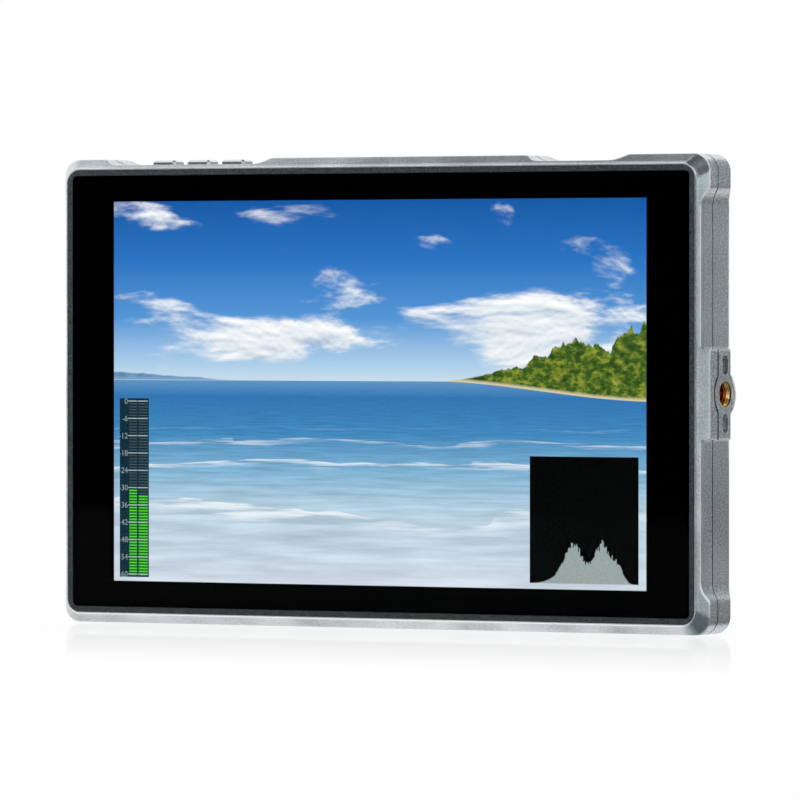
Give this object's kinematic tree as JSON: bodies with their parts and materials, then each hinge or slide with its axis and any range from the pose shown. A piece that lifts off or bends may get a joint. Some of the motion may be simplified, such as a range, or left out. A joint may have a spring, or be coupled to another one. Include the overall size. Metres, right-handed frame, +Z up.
{
  "type": "camera field monitor",
  "caption": "Flat camera field monitor: glass screen in a chamfered metal casing with scooped edges, push keys on top, tripod threads, edge sockets and a slide-on battery plate.",
  "frame": {"origin": "mouth of the tripod thread in the underside, on its axis", "axes": "+X to the viewer's right along the long side, +Y from the screen to the back, +Z up"},
  "size_m": [0.1824, 0.0239, 0.1152],
  "materials": {
    "casing": "bead-blasted and anodised, satin grey",
    "rim": "moulded, fine matt charcoal",
    "glass": "polished cover glass",
    "black_print": "printed matt black film",
    "tape": "foam tape, matt black",
    "picture_panel": "bonded picture panel",
    "white_moulding": "moulded white frame and sheets",
    "light_guide": "clear acrylic",
    "steel_sheet": "pressed steel sheet",
    "circuit_board": "glass-fibre board with green mask",
    "chips": "moulded black chip packages",
    "soft_pad": "soft heat-conducting pad",
    "ribbon": "amber flat cable",
    "steel": "machined steel",
    "black_plastic": "moulded matt black",
    "brass": "turned brass",
    "contact": "plated contact metal",
    "silver_key": "satin silver"
  },
  "bodies": {
    "housing": {"front_shell": "casing", "rear_shell": "casing", "bezel_frame": "rim", "cover_glass": "glass", "mask_film": "black_print", "glass_tape": "tape", "lcd_panel": "picture_panel", "panel_frame": "white_moulding", "diffuser_stack": "white_moulding", "light_guide": "light_guide", "reflector_sheet": "white_moulding", "led_bar": "white_moulding", "backlight_tray": "steel_sheet", "mid_plate": "steel_sheet", "board_spacers": "steel", "main_board": "circuit_board", "board_chips": "chips", "thermal_pad": "soft_pad", "board_screws": "steel", "panel_ribbon": "ribbon", "key_board": "circuit_board", "key_board_screws": "steel", "key_switches": "black_plastic", "key_ribbon": "ribbon", "hdmi_in_socket": "steel", "hdmi_out_socket": "steel", "usb_socket": "steel", "headphone_jack": "black_plastic", "dc_jack": "black_plastic", "right_thread_insert": "brass", "bottom_thread_insert": "brass", "case_screws": "steel", "battery_plate": "black_plastic", "battery_contacts": "contact", "plate_screws": "steel", "latch_spring": "steel"},
    "latch": {"battery_latch": "black_plastic"},
    "key_1": {"key_cap_1": "silver_key", "key_stem_1": "black_plastic"},
    "key_2": {"key_cap_2": "silver_key", "key_stem_2": "black_plastic"},
    "key_3": {"key_cap_3": "silver_key", "key_stem_3": "black_plastic"}
  },
  "joints": [
    {"name": "key_1_press", "type": "slide", "parent": "housing", "child": "key_1", "axis": [0, 0, -1], "range_m": [0, 0.0005], "stiffness_N_per_m": 1000},
    {"name": "key_2_press", "type": "slide", "parent": "housing", "child": "key_2", "axis": [0, 0, -1], "range_m": [0, 0.0005], "stiffness_N_per_m": 1000},
    {"name": "key_3_press", "type": "slide", "parent": "housing", "child": "key_3", "axis": [0, 0, -1], "range_m": [0, 0.0005], "stiffness_N_per_m": 1000},
    {"name": "battery_latch_press", "type": "slide", "parent": "housing", "child": "latch", "axis": [0, -1, 0], "range_m": [0, 0.0018], "stiffness_N_per_m": 800, "deforming": ["latch_spring"]}
  ]
}
